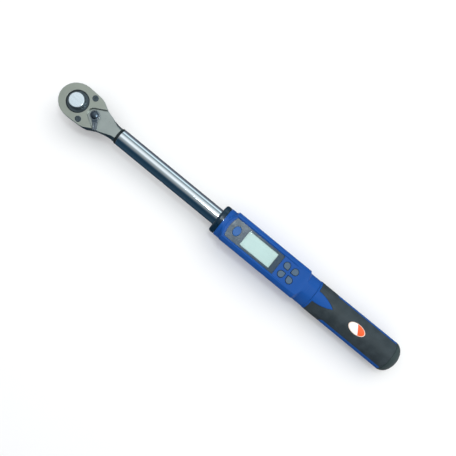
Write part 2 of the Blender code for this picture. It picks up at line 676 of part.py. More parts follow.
def build_lower_housing(plastic):
    """The plain half-round shell under the display, with four screw posts."""
    outline = arc((0.0, 0.0), HOUSING_RADIUS, 180.5, 359.5, 28)
    shell = solid("lower_housing", prism(outline, HOUSING_START, HOUSING_END, "X"), plastic)
    hollow = arc((0.0, 0.0), HOUSING_RADIUS - SHELL_WALL, 180.0, 360.0, 16)
    hollow += [(CAVITY_HALF, 1.0), (-CAVITY_HALF, 1.0)]
    cavity = solid("cavity", prism(hollow, CAVITY_START, CAVITY_STOP, "X"))
    for spot in BOSS_SPOTS:
        cut(cavity, rod(-20.0, 3.0, BOSS_POST, 20, "Z", spot))
    combine(shell, [cavity], "DIFFERENCE")
    cut(shell, rod(HOUSING_START - 5.0, HOUSING_END + 5.0, TUBE_RADIUS + GAP, 36))
    for spot in BOSS_SPOTS:
        cut(shell, rod(-20.0, 3.0, SCREW_SHANK + GAP, 12, "Z", spot))
        cut(shell, rod(-20.0, HOUSING_SEAT, CASE_SCREW_HEAD + GAP, 20, "Z", spot))
    return shell


def build_housing_screw(name, spot, steel):
    low = HOUSING_SEAT - 2.0
    seat = HOUSING_SEAT - GAP
    profile = [(low, 0), (low, CASE_SCREW_HEAD - 0.3), (low + 0.3, CASE_SCREW_HEAD), (seat, CASE_SCREW_HEAD)]
    profile += [(seat, SCREW_SHANK), (8.0, SCREW_SHANK), (8.6, 0)]
    screw = solid(name, turned(profile, 20, "Z", spot), steel)
    x, y = spot
    slot_x = block((x - 1.5, y - 0.35, low - 1.0), (x + 1.5, y + 0.35, low + 1.0))
    slot_y = block((x - 0.35, y - 1.5, low - 1.0), (x + 0.35, y + 1.5, low + 1.0))
    return cut(screw, slot_x, slot_y)


def build_display_panel(plastic):
    outline = display_outline(FACE_START, PANEL_STOP, PANEL_HALF, 2.5)
    panel = solid("display_panel", prism(outline, PANEL_FLOOR + GAP, PANEL_TOP), plastic)
    x0, x1, half = window_box(0.0)
    opening = rounded_box(x0, x1, half, 0.8)
    holes = [prism(outline, PANEL_FLOOR, PANEL_TOP + 1.0) for outline in (opening, power_outline(GAP))]
    return cut(panel, *holes)


def build_display_parts(glass, screen, green, black):
    """The clear window, the display module and the circuit board with its parts."""
    x0, x1, half = window_box(-GAP)
    pane = rounded_box(x0, x1, half, 0.6, 3)
    solid("display_window", prism(pane, SCREEN_TOP + GAP, PANEL_TOP - 0.2), glass)
    solid("lcd_module", prism(pane, BOARD_TOP + GAP, SCREEN_TOP), screen)
    board = rounded_box(CAVITY_START + 0.5, CAVITY_STOP - 0.5, 11.2, 1.0)
    solid("circuit_board", prism(board, BOARD_BOTTOM, BOARD_TOP), green)
    low = BOARD_TOP + GAP
    solid("main_chip", block((301.0, -3.5, low), (308.0, 3.5, low + 1.2)), black)


def build_button(name, outline, top, origin, plastic):
    rows = [(outline, BUTTON_LOW), (outline, top - 0.5), (inset_outline(outline, 0.15), top - 0.2)]
    rows += [(inset_outline(outline, 0.5), top)]
    return solid(name, loft([[(x, y, z) for x, y in shape] for shape, z in rows]), plastic, (*origin, top))


def build_switch(name, x, y, black):
    low = BOARD_TOP + GAP
    return solid(name, block((x - 1.9, y - 1.9, low), (x + 1.9, y + 1.9, low + 0.6)), black)


# ---------------------------------------------------------------- grip, batteries and cap


def grip_radius(x):
    """The grip's outside swells a little towards its end."""
    return blend(GRIP_RADIUS, GRIP_END_RADIUS, smooth_step(x, 400.0, GRIP_END))


def grip_ring(inner, stations, extra):
    """A sleeve between an inner radius and the grip's outside."""
    low, high = stations[0], stations[-1]
    profile = [(low, inner), *[(x, grip_radius(x) + extra) for x in stations], (high, inner)]
    return turned(profile, 44)


def tongue_outline(margin):
    """The pointed tongue seen from above. It ends in an ogive."""
    side = []
    for k in range(7):
        t = k / 6
        side.append((blend(RUBBER_START, TONGUE_TIP, t), TONGUE_HALF * math.cos(t * math.pi / 2) ** 0.8))
    start = RUBBER_START - 3.0
    half = [(start, TONGUE_HALF + margin)] + [(x + margin * 0.6, y + margin) for x, y in side[:-1]]
    tip = (TONGUE_TIP + margin * 1.3, 0.0)
    return half + [tip] + [(x, -y) for x, y in reversed(half)]


def strip_outline(margin):
    """A side strip seen from the side, as x and height. Its front end is tapered."""
    half = STRIP_HALF + margin
    front = STRIP_START - margin
    stop = GRIP_END + 3.0
    upper = [(stop, half), (front + 3.5, half), (front + 0.9, half * 0.6)]
    return [*upper, (front, 0.0), *[(x, -z) for x, z in reversed(upper)]]


def build_grip_core(plastic):
    """The stiff blue sleeve on the tube. Its tongue and side strips come through the rubber."""
    bore, socket = TUBE_RADIUS + GAP, SOCKET_RADIUS
    flange = RUBBER_START - GAP
    front = HOUSING_END + GAP
    profile = [(front, bore), (front, HOUSING_RADIUS), (front + 0.7, GRIP_RADIUS), (flange, GRIP_RADIUS)]
    profile += [(flange, CORE_RADIUS), (GRIP_END, CORE_RADIUS), (GRIP_END, SEAL_RADIUS)]
    profile += [(SEAL_FLOOR, SEAL_RADIUS), (SEAL_FLOOR, socket), (SOCKET_START, socket), (SOCKET_START, bore)]
    core = solid("grip_core", turned(profile, 44), plastic)
    inner = CORE_RADIUS - 0.6
    rib = solid("rib", grip_ring(inner, (flange - 1.0, 376.0, TONGUE_TIP + 1.0), -0.1))
    combine(rib, [solid("shape", prism(tongue_outline(0.0), 0.0, 30.0))], "INTERSECT")
    combine(core, [rib], "UNION")
    for side in (-1, 1):
        stations = (STRIP_START - 1.0, 400.0, 425.0, 450.0, GRIP_END - 0.2)
        rib = solid("rib", grip_ring(inner, stations, -0.1))
        shape = prism(strip_outline(0.0), min(0.0, side * 30.0), max(0.0, side * 30.0), "Y")
        combine(rib, [solid("shape", shape)], "INTERSECT")
        combine(core, [rib], "UNION")
    return core


def build_grip_rubber(rubber):
    """The rubber cover: a front ring with a long tongue over the top and another underneath."""
    stations = (RUBBER_START, RUBBER_START + 0.6, 400.0, 425.0, 450.0, GRIP_END)
    cover = solid("grip_rubber", grip_ring(CORE_RADIUS + GAP, stations, 0.0), rubber)
    cut(cover, prism(tongue_outline(GAP), 0.0, 30.0))
    for side in (-1, 1):
        cut(cover, prism(strip_outline(GAP), min(0.0, side * 30.0), max(0.0, side * 30.0), "Y"))
    seat = solid("seat", grip_ring(CORE_RADIUS + 1.1, (BADGE_X - 15.0, BADGE_X + 15.0), 1.0))
    combine(seat, [solid("shape", prism(oval(BADGE_X, *BADGE_HALF, 40), 0.0, 30.0))], "INTERSECT")
    combine(cover, [seat], "DIFFERENCE")
    return cover


def build_badge(plastic):
    half_x, half_y = BADGE_HALF
    stations = (BADGE_X - 15.0, BADGE_X, BADGE_X + 15.0)
    badge = solid("badge", grip_ring(CORE_RADIUS + 1.4, stations, 0.25), plastic)
    outline = oval(BADGE_X, half_x - GAP, half_y - GAP, 40)
    combine(badge, [solid("shape", prism(outline, 0.0, 30.0))], "INTERSECT")
    return badge


def build_battery(name, start, jacket):
    stop = start + BATTERY_LENGTH
    tip, wide, rim = 2.7, BATTERY_RADIUS, BATTERY_RADIUS - 0.5
    profile = [(start, 0), (start, tip), (start + 1.0, tip), (start + 1.0, rim), (start + 1.5, wide)]
    profile += [(stop - 0.5, wide), (stop, rim), (stop, 0)]
    return solid(name, turned(profile, 32), jacket)


def build_cap(plastic):
    """The end cap: a domed knob with a hollow skirt that screws into the grip."""
    low, outer = GRIP_END + GAP, GRIP_END_RADIUS
    reach = TOOL_END - low - 0.4
    dome = quarter(low + 0.4, outer - DOME_RISE, reach, DOME_RISE, 9)
    skirt = SOCKET_RADIUS - GAP
    profile = [(low, skirt), (low, outer - 0.4), *dome, (TOOL_END, 0)]
    profile += [(CAP_FLOOR, 0), (CAP_FLOOR, skirt - 2.6), (CAP_START, skirt - 2.6), (CAP_START, skirt - 0.4)]
    profile += [(CAP_START + 0.4, skirt)]
    return solid("battery_cap", turned(profile, 44), plastic, (GRIP_END, 0.0, 0.0))


# ---------------------------------------------------------------- assembly


def clear_scene():
    for made in list(bpy.data.objects):
        bpy.data.objects.remove(made)


def finish(made):
    """Millimetres to metres, and smooth shading that keeps real corners sharp."""
    made.data.transform(Matrix.Scale(MM, 4))
    made.location = made.location * MM
    made.data.polygons.foreach_set("use_smooth", [True] * len(made.data.polygons))
    made.data.set_sharp_from_angle(angle=math.radians(30))


def build_head_parts():
    satin = material("satin_chrome", (0.60, 0.62, 0.60), 0.32, 1.0)
    build_head(material("head_steel", (0.50, 0.52, 0.53), 0.36, 1.0))
    build_cover_plate(satin)
    black_steel = material("black_steel", (0.05, 0.06, 0.07), 0.35, 0.9)
    build_cover_screw("cover_screw_1", -SCREW_Y, black_steel)
    build_cover_screw("cover_screw_2", SCREW_Y, black_steel)
    build_drive_gear(material("dark_gear_steel", (0.12, 0.14, 0.15), 0.38, 1.0))
    build_release_button(material("button_chrome", (0.78, 0.80, 0.82), 0.22, 1.0))
    build_detent_ball(material("ball_steel", (0.65, 0.66, 0.68), 0.15, 1.0))
    spring_steel = material("spring_steel", (0.45, 0.46, 0.48), 0.30, 1.0)
    coiled = coil(SPRING_FLOOR + GAP, BUTTON_SEAT + BUTTON_TRAVEL, 5.0, 0.45, 5, "Z")
    solid("release_spring", coiled, spring_steel)
    build_pawl(material("pawl_steel", (0.30, 0.31, 0.33), 0.35, 1.0))
    pin_steel = material("pin_steel", (0.55, 0.56, 0.58), 0.28, 1.0)
    pin = rod(HEAD_BOTTOM + 0.2, CAVITY_ROOF + 0.9, PAWL_PIN_RADIUS, 16, "Z", (PAWL_X, 0.0))
    solid("pawl_pin", pin, pin_steel)
    build_reverse_lever(material("lever_chrome", (0.74, 0.76, 0.78), 0.22, 1.0))
    build_pawl_plunger(pin_steel)
    build_lever_clip(spring_steel)


def build_tube_parts():
    build_main_tube(material("tube_chrome", (0.72, 0.75, 0.78), 0.12, 1.0))
    build_neck_ring(material("black_rubber", (0.02, 0.025, 0.03), 0.6))
    pin_steel = material("cross_pin_steel", (0.60, 0.62, 0.64), 0.25, 1.0)
    solid("tube_cross_pin", rod(-10.0, 10.0, CROSS_PIN_RADIUS, 24, "Y", (CROSS_PIN_X, 0.0)), pin_steel)
    gauge = material("gauge_film", (0.75, 0.45, 0.15), 0.5)
    low = BEAM_HALF + GAP
    solid("strain_gauge_1", block((98.0, -3.0, low), (110.0, 3.0, low + 0.3)), gauge)
    solid("strain_gauge_2", block((98.0, -3.0, -low - 0.3), (110.0, 3.0, -low)), gauge)
    build_signal_cable(material("cable_grey", (0.25, 0.25, 0.27), 0.6))
    build_front_collar(material("collar_black", (0.012, 0.03, 0.04), 0.4))


def build_housing_parts():
    blue = material("housing_blue", (0.01, 0.08, 0.40), 0.4)
    build_upper_housing(blue)
    build_lower_housing(blue)
    screw_steel = material("screw_steel", (0.10, 0.10, 0.11), 0.4, 0.9)
    for k, spot in enumerate(BOSS_SPOTS):
        build_housing_screw(f"housing_screw_{k + 1}", spot, screw_steel)
    build_display_panel(material("panel_grey", (0.16, 0.21, 0.25), 0.45))
    black = material("component_black", (0.02, 0.02, 0.02), 0.5)
    build_display_parts(
        material("window_clear", (0.80, 0.90, 0.90), 0.08),
        material("lcd_green", (0.50, 0.72, 0.66), 0.3),
        material("board_green", (0.02, 0.18, 0.07), 0.4),
        black,
    )
    solid("buzzer", rod(-15.2, -12.2, 5.0, 32, "Z", (285.0, 0.0)), black)
    key_grey = material("key_grey", (0.13, 0.21, 0.27), 0.5)
    power_blue = material("power_blue", (0.02, 0.12, 0.5), 0.4)
    build_button("power_button", power_outline(0.0), PANEL_TOP + 0.5, (POWER_X, 0.0), power_blue)
    build_switch("power_switch", POWER_X, 0.0, black)
    places = [(column, side) for column in KEY_COLUMNS for side in (-KEY_Y, KEY_Y)]
    for k, (x, y) in enumerate(places):
        build_button(f"key_{k + 1}", key_outline(x, y, 0.0), KEY_FACE + 0.8, (x, y), key_grey)
        build_switch(f"key_switch_{k + 1}", x, y, black)


def build_handle_parts():
    build_grip_core(material("grip_blue", (0.01, 0.09, 0.42), 0.42))
    build_grip_rubber(material("grip_rubber", (0.04, 0.05, 0.06), 0.65))
    build_badge(material("badge_white", (0.85, 0.85, 0.85), 0.35))
    brass = material("contact_brass", (0.80, 0.60, 0.25), 0.3, 1.0)
    stop = material("stop_plastic", (0.05, 0.05, 0.05), 0.5)
    solid("battery_stop", rod(350.0, BATTERY_START - 3.0, TUBE_BORE - GAP, 32), stop)
    solid("front_contact", rod(BATTERY_START - 2.7, BATTERY_START - GAP, 5.0, 24), brass)
    jacket = material("battery_jacket", (0.55, 0.12, 0.05), 0.35)
    build_battery("battery_1", BATTERY_START, jacket)
    build_battery("battery_2", BATTERY_START + BATTERY_LENGTH + GAP, jacket)
    build_cap(material("cap_black", (0.04, 0.05, 0.055), 0.45))
    low, inner, outer = SEAL_FLOOR + 0.5, SOCKET_RADIUS, SEAL_RADIUS - GAP
    ring = [(low, inner), (low, outer), (GRIP_END, outer), (GRIP_END, inner)]
    solid("cap_seal", turned(ring, 36), material("seal_rubber", (0.02, 0.02, 0.02), 0.7))
    solid("contact_disc", rod(CAP_FLOOR - 1.0, CAP_FLOOR - GAP, 7.0, 32), brass)
    battery_end = BATTERY_START + 2 * BATTERY_LENGTH + GAP
    coiled = coil(battery_end + GAP, CAP_FLOOR - 1.0 - GAP, 4.5, 0.4, 4, "X")
    solid("battery_spring", coiled, material("battery_spring_steel", (0.7, 0.7, 0.7), 0.25, 1.0))


def main():
    clear_scene()
    build_head_parts()
    build_tube_parts()
    build_housing_parts()
    build_handle_parts()
    for made in bpy.data.objects:
        finish(made)


main()
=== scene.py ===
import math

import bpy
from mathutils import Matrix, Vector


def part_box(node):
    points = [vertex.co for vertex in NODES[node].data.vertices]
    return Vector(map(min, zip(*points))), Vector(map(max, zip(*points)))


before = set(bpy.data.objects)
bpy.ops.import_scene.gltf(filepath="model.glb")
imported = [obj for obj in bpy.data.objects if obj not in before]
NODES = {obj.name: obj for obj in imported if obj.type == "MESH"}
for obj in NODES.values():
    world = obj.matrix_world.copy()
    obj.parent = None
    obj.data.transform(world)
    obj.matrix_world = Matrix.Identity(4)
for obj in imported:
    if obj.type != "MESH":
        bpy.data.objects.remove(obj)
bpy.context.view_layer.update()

# Digital torque wrench: surface finishes, fine edges, studio and camera.
# Lengths are in metres in the row frame. X runs along the tool, from its head to its cap,
# and Z points out of the display. Colours are linear.

TUBE_AXIS_Z = 0.028

# Camera: over the middle of the tool, tilted a little towards -Y, with the tool sloping across the frame
VIEW_DISTANCE = 0.620
VIEW_TARGET = Vector((0.2322, -0.00235, TUBE_AXIS_Z))
VIEW_TILT = math.radians(4.5)
TOOL_SLOPE = math.radians(39.376)
FRAME_WIDTH = 0.5472
SENSOR_WIDTH = 36.0  # millimetres
NEAREST_SEEN = 0.01

# Widths of the softened edges, and segments across them
HEAD_EDGE = 0.0006
PLATE_EDGE = 0.0007
LEVER_EDGE = 0.0004
MOULDED_EDGE = 0.0004
TUBE_EDGE = 0.0003
KEY_EDGE = 0.0003
SMALL_EDGE = 0.0002
EDGE_SEGMENTS = 3
SMALL_EDGE_SEGMENTS = 2
SHARP_ANGLE = math.radians(30.0)
FLAT_ANGLE = math.radians(0.6)
WELD_GAP = 0.00001
FLAT_FACE_WEIGHT = 60

# Grain: how deep the fine bumps are
BRUSHED_DEPTH = 0.000012
GROUND_DEPTH = 0.00001
OXIDE_DEPTH = 0.00002
MOULDED_DEPTH = 0.00004
PRINTED_DEPTH = 0.00001
RIPPLE_DEPTH = 0.00002
PIT_DEPTH = 0.00001
PEBBLE_DEPTH = 0.00006
RUBBER_GRAIN_DEPTH = 0.00002

# Noise: the range that most of its values lie in
NOISE_LOW = 0.3
NOISE_HIGH = 0.7

# Edges, for wear and for painted highlights: how like the rounded normal is to the flat one in the open, and
# on a full edge
OPEN_LIKENESS = 0.995
EDGE_LIKENESS = 0.9
EDGE_SAMPLES = 6

# Metals
FORGED_STEEL = (0.43, 0.46, 0.435)
PLATE_STEEL = (0.425, 0.445, 0.385)
GROUND_STEEL = (0.46, 0.47, 0.48)
# Bright edges of brushed metal: partly wear, partly a painted highlight
WEAR_AND_HIGHLIGHT_STEEL = (0.80, 0.84, 0.88)
BRASS = (0.75, 0.55, 0.25)
TUBE_CHROME = (0.83, 0.86, 0.89)
BUTTON_CHROME = (0.86, 0.93, 0.97)
BALL_CHROME = (0.70, 0.74, 0.78)
# Lever: a dark colour that stands for the dark surroundings it reflects, a painted dark reflection
LEVER_PAINTED_DARK_REFLECTION = (0.085, 0.108, 0.135)
# Lever edges: painted highlight
LEVER_EDGE_HIGHLIGHT = (0.90, 0.94, 0.98)
# Middle of the lever's hub: painted highlight
PAINTED_HUB_HIGHLIGHT = (0.95, 0.97, 1.0)
GEAR_BLACK = (0.065, 0.085, 0.095)
COVER_SCREW_BLACK = (0.075, 0.098, 0.112)
CASE_SCREW_BLACK = (0.06, 0.065, 0.07)
RUBBED_OXIDE = (0.32, 0.34, 0.35)

# Plastics, rubber and the display
HOUSING_BLUE = (0.001, 0.066, 0.298)
POWER_BLUE = (0.020, 0.105, 0.33)
PANEL_GREY = (0.006, 0.028, 0.055)
KEY_GREY = (0.066, 0.115, 0.175)
COLLAR_BLACK = (0.001, 0.016, 0.034)
CAP_BLACK = (0.026, 0.044, 0.046)
NECK_RUBBER = (0.004, 0.010, 0.012)
GRIP_RUBBER = (0.019, 0.030, 0.036)
GAUGE_FILM = (0.70, 0.38, 0.10)
BOARD_GREEN = (0.02, 0.16, 0.06)
BATTERY_JACKET = (0.45, 0.10, 0.04)
WINDOW_SHADED = (0.80, 0.92, 0.90)
WINDOW_CLEAR = (0.88, 0.96, 0.95)
DISPLAY_DARK = (0.365, 0.545, 0.52)
DISPLAY_PALE = (0.405, 0.59, 0.56)
DISPLAY_GRAIN = (0.33, 0.50, 0.475)
BADGE_WHITE = (0.86, 0.86, 0.84)
BADGE_ORANGE = (0.86, 0.10, 0.008)
BADGE_RIM = (0.80, 0.62, 0.52)

# Reverse lever: a painted highlight, a bright disc in the middle of its hub
HUB_HIGHLIGHT_RADIUS = 0.0016
HUB_HIGHLIGHT_BLEND = 0.0003

# Badge, with half its length and half its width as the units
BADGE_SPLIT = 0.12
BADGE_SPLIT_BLEND = 0.03
BADGE_SLANT = 0.35
RIM_START = 0.90
RIM_FULL = 0.93

# Studio
PAPER_WHITE = (0.90, 0.895, 0.89)
FLOOR_SIZE = 14.0
FLOOR_GAP = 0.0004
ROOM_LIGHT = (0.95, 0.96, 0.98)
ROOM_POWER = 0.84
KEY_POWER = 5.0
FILL_POWER = 2.0
SPOT_POWER = 1.6
KEY_COLOUR = (1.0, 0.985, 0.96)
FILL_COLOUR = (0.96, 0.98, 1.0)
SPOT_COLOUR = (0.86, 0.96, 1.0)

# What reflections see around the tool, by degrees from overhead: +Y is at 90, -Y at -90 and the floor at 180
WHITE = (1.0, 1.0, 1.0)
BLACK = (0.0, 0.0, 0.0)
NIGHT = (0.010, 0.026, 0.045)
SOFT_BOX = (1.22, 1.30, 1.34)
AROUND_TOOL = (
    (-180, NIGHT),
    (-110, (0.035, 0.075, 0.12)),
    (-60, (0.013, 0.045, 0.08)),
    (-42, (0.02, 0.06, 0.10)),
    (-31, (0.16, 0.20, 0.24)),
    (-20, (0.34, 0.38, 0.40)),
    (-9, (0.42, 0.48, 0.50)),
    (3, (0.75, 0.85, 0.90)),
    (12, SOFT_BOX),
    (28, SOFT_BOX),
    (41, (0.72, 0.84, 0.87)),
    (54, (0.30, 0.36, 0.40)),
    (62, (0.20, 0.27, 0.32)),
    (70, (1.0, 1.25, 1.35)),
    (86, (0.95, 1.15, 1.22)),
    (94, (0.22, 0.25, 0.30)),
    (118, (0.14, 0.17, 0.22)),
    (150, (0.05, 0.06, 0.08)),
    (180, WHITE),
)

# What they see beyond its ends, by degrees from square to the tool: the head's end is at -90, the cap's at 90
ALONG_TOOL = (
    (-90, (0.42, 0.45, 0.48)),
    (0, (0.45, 0.48, 0.52)),
    (30, (0.8, 0.85, 0.9)),
    (90, WHITE),
)

# How much of that second view they show, by the same degrees: white is all of it and black is none
END_SHARE = (
    (-90, WHITE),
    (-45, WHITE),
    (-30, BLACK),
    (30, BLACK),
    (45, WHITE),
    (90, WHITE),
)


# ---------------------------------------------------------------- node graph helpers


class Graph:
    """A short way to write a node tree."""

    def __init__(self, tree):
        self.tree = tree

    def add(self, kind, **settings):
        node = self.tree.nodes.new(kind)
        for key, value in settings.items():
            setattr(node, key, value)
        return node

    def put(self, value, socket):
        """Sets a socket to a number or a colour, or links it to another socket."""
        if isinstance(value, (int, float)):
            socket.default_value = value
        elif isinstance(value, tuple):
            socket.default_value = (*value, 1.0)
        else:
            self.tree.links.new(value, socket)

    def remap(self, value, low, high, to_low, to_high):
        node = self.add("ShaderNodeMapRange")
        node.inputs["From Min"].default_value = low
        node.inputs["From Max"].default_value = high
        node.inputs["To Min"].default_value = to_low
        node.inputs["To Max"].default_value = to_high
        self.put(value, node.inputs["Value"])
        return node.outputs["Result"]

    def mask(self, value, low, high):
        """0 at the low value, rising to 1 at the high one."""
        return self.remap(value, low, high, 0.0, 1.0)

    def mix(self, factor, first, second):
        """Mixes two colours, each a tuple or a socket."""
        node = self.add("ShaderNodeMix", data_type="RGBA")
        self.put(factor, node.inputs["Factor"])
        self.put(first, node.inputs["A"])
        self.put(second, node.inputs["B"])
        return node.outputs["Result"]

    def maths(self, operation, first, second=0.0):
        node = self.add("ShaderNodeMath", operation=operation)
        self.put(first, node.inputs[0])
        self.put(second, node.inputs[1])
        return node.outputs["Value"]

    def times(self, first, second):
        return self.maths("MULTIPLY", first, second)

    def length(self, vector):
        node = self.add("ShaderNodeVectorMath", operation="LENGTH")
        self.put(vector, node.inputs[0])
        return node.outputs["Value"]

    def split(self, vector):
        """The X, Y and Z of a vector, by name."""
        node = self.add("ShaderNodeSeparateXYZ")
        self.put(vector, node.inputs["Vector"])
        return node.outputs

    def ramp(self, angle, stops):
        """The colour for an angle in radians. The stops are (degrees, colour) pairs, from low to high."""
        low = stops[0][0]
        high = stops[-1][0]
        node = self.add("ShaderNodeValToRGB")
        elements = node.color_ramp.elements
        for degrees, colour in stops[1:-1]:
            elements.new((degrees - low) / (high - low)).color = (*colour, 1.0)
        elements[0].color = (*stops[0][1], 1.0)
        elements[-1].color = (*stops[-1][1], 1.0)
        self.put(self.mask(angle, math.radians(low), math.radians(high)), node.inputs["Fac"])
        return node.outputs["Color"]


class Surface(Graph):
    """A material's node tree, worked out from the object's own coordinates."""

    def __init__(self, name):
        self.material = bpy.data.materials.new(name)
        self.material.use_nodes = True
        super().__init__(self.material.node_tree)
        self.shader = self.tree.nodes["Principled BSDF"]
        self.place = self.add("ShaderNodeTexCoord").outputs["Object"]

    def mapped(self, scale, offset=(0.0, 0.0, 0.0)):
        """The object's coordinates, scaled along each axis and then moved."""
        node = self.add("ShaderNodeMapping")
        node.inputs["Location"].default_value = offset
        node.inputs["Scale"].default_value = scale
        self.put(self.place, node.inputs["Vector"])
        return node.outputs["Vector"]

    def noise(self, scale, detail, stretch=(1.0, 1.0, 1.0)):
        """Noise with about so many blobs to a metre. A stretch below 1 draws them out along that axis."""
        node = self.add("ShaderNodeTexNoise")
        node.inputs["Scale"].default_value = scale
        node.inputs["Detail"].default_value = detail
        self.put(self.mapped(stretch), node.inputs["Vector"])
        return node.outputs["Fac"]

    def spread(self, noise, to_low=0.0, to_high=1.0):
        """A noise with its usual range stretched over the given one."""
        return self.remap(noise, NOISE_LOW, NOISE_HIGH, to_low, to_high)

    def edges(self, radius):
        """About 1 along convex and concave edges, and 0 on open surfaces."""
        rounded = self.add("ShaderNodeBevel", samples=EDGE_SAMPLES)
        rounded.inputs["Radius"].default_value = radius
        likeness = self.add("ShaderNodeVectorMath", operation="DOT_PRODUCT")
        self.put(rounded.outputs["Normal"], likeness.inputs[0])
        self.put(self.add("ShaderNodeNewGeometry").outputs["Normal"], likeness.inputs[1])
        return self.mask(likeness.outputs["Value"], OPEN_LIKENESS, EDGE_LIKENESS)

    def bump(self, height, depth, strength=1.0, under=None):
        """The normal over a bumpy surface, on top of another bump if one is given."""
        node = self.add("ShaderNodeBump")
        node.inputs["Distance"].default_value = depth
        node.inputs["Strength"].default_value = strength
        self.put(height, node.inputs["Height"])
        if under is not None:
            self.put(under, node.inputs["Normal"])
        return node.outputs["Normal"]

    def finish(self, tone, roughness, normal=None, **constants):
        """Connects the shader. Constants are plain values on its sockets."""
        self.put(tone, self.shader.inputs["Base Color"])
        self.put(roughness, self.shader.inputs["Roughness"])
        if normal is not None:
            self.put(normal, self.shader.inputs["Normal"])
        for socket, value in constants.items():
            self.shader.inputs[socket.replace("_", " ")].default_value = value
        return self.material


def shade(colour, factor, lift=0.0):
    """A darker or brighter version of a colour."""
    return tuple(min(1.0, part * factor + lift) for part in colour)


# ---------------------------------------------------------------- metals


def brushed_metal(name, colour, rough, stretch, depth=BRUSHED_DEPTH, wear_and_highlight_share=0.8):
    """Metal with fine lines across the tool, cloudy polish and bright edges that are partly wear and partly a
    painted highlight.
    """
    graph = Surface(name)
    lines = graph.noise(scale=900.0, detail=3.0, stretch=(1.0, stretch, 1.0))
    clouds = graph.noise(scale=55.0, detail=4.0)
    smudges = graph.noise(scale=210.0, detail=3.0)
    patches = graph.remap(smudges, low=0.35, high=0.6, to_low=0.35, to_high=1.0)
    # Bright edges: partly wear, partly a painted highlight where the edges would catch light
    wear_and_highlight = graph.times(graph.edges(radius=0.0006), patches)
    polish = graph.times(wear_and_highlight, 0.12)
    tone = graph.mix(graph.mask(clouds, low=0.35, high=0.65), shade(colour, 0.90), colour)
    tone = graph.mix(graph.times(wear_and_highlight, wear_and_highlight_share), tone, WEAR_AND_HIGHLIGHT_STEEL)
    rough_map = graph.spread(clouds, rough - 0.05, rough + 0.06)
    rough_map = graph.maths("SUBTRACT", rough_map, polish)
    return graph.finish(tone, rough_map, graph.bump(lines, depth), Metallic=1.0)


def plating(graph, colour, rough):
    """Tone, roughness and normal of plating: nearly a mirror, with ripples, wiped streaks and fine pits."""
    ripple = graph.noise(scale=60.0, detail=2.0, stretch=(0.25, 1.0, 1.0))
    wiped = graph.noise(scale=300.0, detail=3.0, stretch=(0.08, 1.0, 1.0))
    pits = graph.mask(graph.noise(scale=2600.0, detail=0.0), low=0.74, high=0.80)
    tone = graph.mix(graph.mask(wiped, low=0.35, high=0.7), colour, shade(colour, 0.94))
    streaks = graph.remap(wiped, low=0.4, high=0.75, to_low=rough, to_high=rough + 0.05)
    rough_map = graph.maths("ADD", streaks, graph.times(pits, 0.15))
    rippled = graph.bump(ripple, depth=RIPPLE_DEPTH, strength=0.5)
    normal = graph.bump(pits, depth=-PIT_DEPTH, strength=0.5, under=rippled)
    return tone, rough_map, normal


def chrome(name, colour, rough):
    """Chrome plating of one colour."""
    graph = Surface(name)
    return graph.finish(*plating(graph, colour, rough), Metallic=1.0)


def lever_chrome():
    """Chrome with a painted dark reflection in its colour, painted highlights on its edges, and a painted
    highlight, a bright disc, in the middle of its hub.
    """
    graph = Surface("lever_chrome")
    # The lever's dark colour is a painted dark reflection
    tone, rough_map, normal = plating(graph, LEVER_PAINTED_DARK_REFLECTION, rough=0.20)
    # Painted highlight along the lever's edges
    tone = graph.mix(graph.times(graph.edges(radius=0.0005), 0.85), tone, LEVER_EDGE_HIGHLIGHT)
    # Painted highlight: a bright disc around the lever's pivot
    from_pivot = graph.length(graph.mapped((1.0, 1.0, 0.0)))
    hub_highlight = graph.remap(from_pivot, HUB_HIGHLIGHT_RADIUS, HUB_HIGHLIGHT_RADIUS + HUB_HIGHLIGHT_BLEND, 1.0, 0.0)
    tone = graph.mix(hub_highlight, tone, PAINTED_HUB_HIGHLIGHT)
    return graph.finish(tone, rough_map, normal, Metallic=1.0)


def black_oxide(name, colour):
    """Blackened steel with a fine grain, slow clouds and edges rubbed back to grey."""
    graph = Surface(name)
    grain = graph.noise(scale=1500.0, detail=3.0)
    clouds = graph.noise(scale=120.0, detail=3.0)
    tone = graph.mix(graph.spread(clouds), shade(colour, 0.8), shade(colour, 1.2))
    tone = graph.mix(graph.times(graph.edges(radius=0.0004), 0.5), tone, RUBBED_OXIDE)
    rough_map = graph.spread(grain, 0.31, 0.44)
    return graph.finish(tone, rough_map, graph.bump(grain, OXIDE_DEPTH), Metallic=0.85)


# ---------------------------------------------------------------- plastics, rubber and the display


def moulded(name, colour, rough, shine=0.5, depth=MOULDED_DEPTH, coat=0.0):
    """Moulded plastic: a spark-eroded grain, slow colour drift, and paler edges rubbed a little smoother."""
    graph = Surface(name)
    grain = graph.noise(scale=1400.0, detail=2.0)
    drift = graph.noise(scale=30.0, detail=3.0)
    handled = graph.noise(scale=140.0, detail=4.0)
    edge = graph.edges(radius=0.0005)
    polish = graph.times(edge, 0.08)
    tone = graph.mix(graph.spread(drift), shade(colour, 0.93), shade(colour, 1.06))
    tone = graph.mix(graph.times(edge, 0.30), tone, shade(colour, 1.5, lift=0.02))
    rough_map = graph.spread(handled, rough - 0.05, rough + 0.05)
    rough_map = graph.maths("SUBTRACT", rough_map, polish)
    normal = graph.bump(grain, depth)
    return graph.finish(tone, rough_map, normal, Coat_Weight=coat, Specular_IOR_Level=shine)


